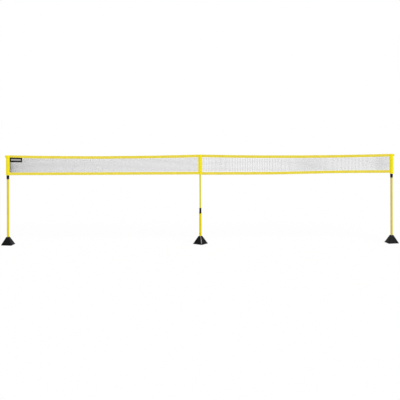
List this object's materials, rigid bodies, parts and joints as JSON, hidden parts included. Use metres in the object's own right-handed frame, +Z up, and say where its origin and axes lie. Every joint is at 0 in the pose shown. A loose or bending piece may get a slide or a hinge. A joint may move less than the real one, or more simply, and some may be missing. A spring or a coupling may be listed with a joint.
{
  "type": "volleyball net on poles",
  "caption": "Long, low net in two bays with yellow edge tapes, held in sleeves on telescoping yellow poles that stand in black weighted pyramid feet.",
  "frame": {"origin": "on the floor under the centre pole, at the bottom centre of the whole object", "axes": "+X along the net from the bay with the patch to the other bay, +Y from the front to the back of the net, +Z up"},
  "size_m": [5.5787, 0.2084, 1.255],
  "materials": {
    "foot_plastic": "moulded black plastic, fine grain, satin on the ridges",
    "concrete": "cast concrete, rough",
    "pad_rubber": "matt black rubber",
    "zinc_steel": "zinc plated steel",
    "spring_steel": "spring steel strip",
    "button_steel": "dark plated steel",
    "pole_paint": "yellow powder coat on steel tube",
    "lock_plastic": "moulded black nylon",
    "yellow_cloth": "woven polyester, sewn",
    "yellow_webbing": "woven webbing, folded and stitched",
    "twine": "knotted black twine",
    "black_cloth": "woven black cloth with a blank pale field"
  },
  "bodies": {
    "left_stand": {"left_foot_shell": "foot_plastic", "left_foot_weight": "concrete", "left_foot_plate": "foot_plastic", "left_foot_pads": "pad_rubber", "left_stub": "zinc_steel", "left_button_spring": "spring_steel", "left_outer_tube": "pole_paint", "left_lock_body": "lock_plastic"},
    "net_frame": {"left_inner_tube": "pole_paint", "left_tube_bush": "lock_plastic", "left_tube_plug": "lock_plastic", "left_sleeve": "yellow_cloth", "centre_inner_tube": "pole_paint", "centre_tube_bush": "lock_plastic", "centre_tube_plug": "lock_plastic", "centre_sleeve": "yellow_cloth", "right_inner_tube": "pole_paint", "right_tube_bush": "lock_plastic", "right_tube_plug": "lock_plastic", "right_sleeve": "yellow_cloth", "left_net": "twine", "right_net": "twine", "left_top_tape": "yellow_webbing", "right_top_tape": "yellow_webbing", "left_bottom_tape": "yellow_webbing", "right_bottom_tape": "yellow_webbing", "left_corner_tab": "yellow_webbing", "right_corner_tab": "yellow_webbing", "patch": "black_cloth"},
    "centre_stand": {"centre_foot_shell": "foot_plastic", "centre_foot_weight": "concrete", "centre_foot_plate": "foot_plastic", "centre_foot_pads": "pad_rubber", "centre_stub": "zinc_steel", "centre_button_spring": "spring_steel", "centre_outer_tube": "pole_paint", "centre_lock_body": "lock_plastic"},
    "right_stand": {"right_foot_shell": "foot_plastic", "right_foot_weight": "concrete", "right_foot_plate": "foot_plastic", "right_foot_pads": "pad_rubber", "right_stub": "zinc_steel", "right_button_spring": "spring_steel", "right_outer_tube": "pole_paint", "right_lock_body": "lock_plastic"},
    "left_nut": {"left_lock_nut": "lock_plastic"},
    "left_button": {"left_button": "button_steel"},
    "centre_nut": {"centre_lock_nut": "lock_plastic"},
    "centre_button": {"centre_button": "button_steel"},
    "right_nut": {"right_lock_nut": "lock_plastic"},
    "right_button": {"right_button": "button_steel"}
  },
  "joints": [
    {"name": "height", "type": "slide", "parent": "left_stand", "child": "net_frame", "axis": [0, 0, 1], "range_m": [0, 0.2]},
    {"name": "centre_pole_slide", "type": "slide", "parent": "net_frame", "child": "centre_stand", "axis": [0, 0, -1], "range_m": [0, 0.2]},
    {"name": "right_pole_slide", "type": "slide", "parent": "net_frame", "child": "right_stand", "axis": [0, 0, -1], "range_m": [0, 0.2]},
    {"name": "left_nut_turn", "type": "hinge", "parent": "left_stand", "child": "left_nut", "pos_m": [-2.7, 0, 0.955], "axis": [0, 0, 1], "range_deg": [0, 120]},
    {"name": "centre_nut_turn", "type": "hinge", "parent": "centre_stand", "child": "centre_nut", "pos_m": [0, 0, 0.46], "axis": [0, 0, 1], "range_deg": [0, 120]},
    {"name": "right_nut_turn", "type": "hinge", "parent": "right_stand", "child": "right_nut", "pos_m": [2.7, 0, 0.955], "axis": [0, 0, 1], "range_deg": [0, 120]},
    {"name": "left_button_press", "type": "slide", "parent": "left_stand", "child": "left_button", "axis": [-0.1736, -0.9848, 0], "range_m": [0, 0.005], "stiffness_N_per_m": 900, "springref_m": -0.003, "deforming": ["left_button_spring"]},
    {"name": "centre_button_press", "type": "slide", "parent": "centre_stand", "child": "centre_button", "axis": [0.5878, 0.809, 0], "range_m": [0, 0.005], "stiffness_N_per_m": 900, "springref_m": -0.003, "deforming": ["centre_button_spring"]},
    {"name": "right_button_press", "type": "slide", "parent": "right_stand", "child": "right_button", "axis": [0.2079, -0.9781, 0], "range_m": [0, 0.005], "stiffness_N_per_m": 900, "springref_m": -0.003, "deforming": ["right_button_spring"]}
  ],
  "couplings": [
    {"joint": "centre_pole_slide", "follows": "height", "ratio": 1},
    {"joint": "right_pole_slide", "follows": "height", "ratio": 1}
  ]
}
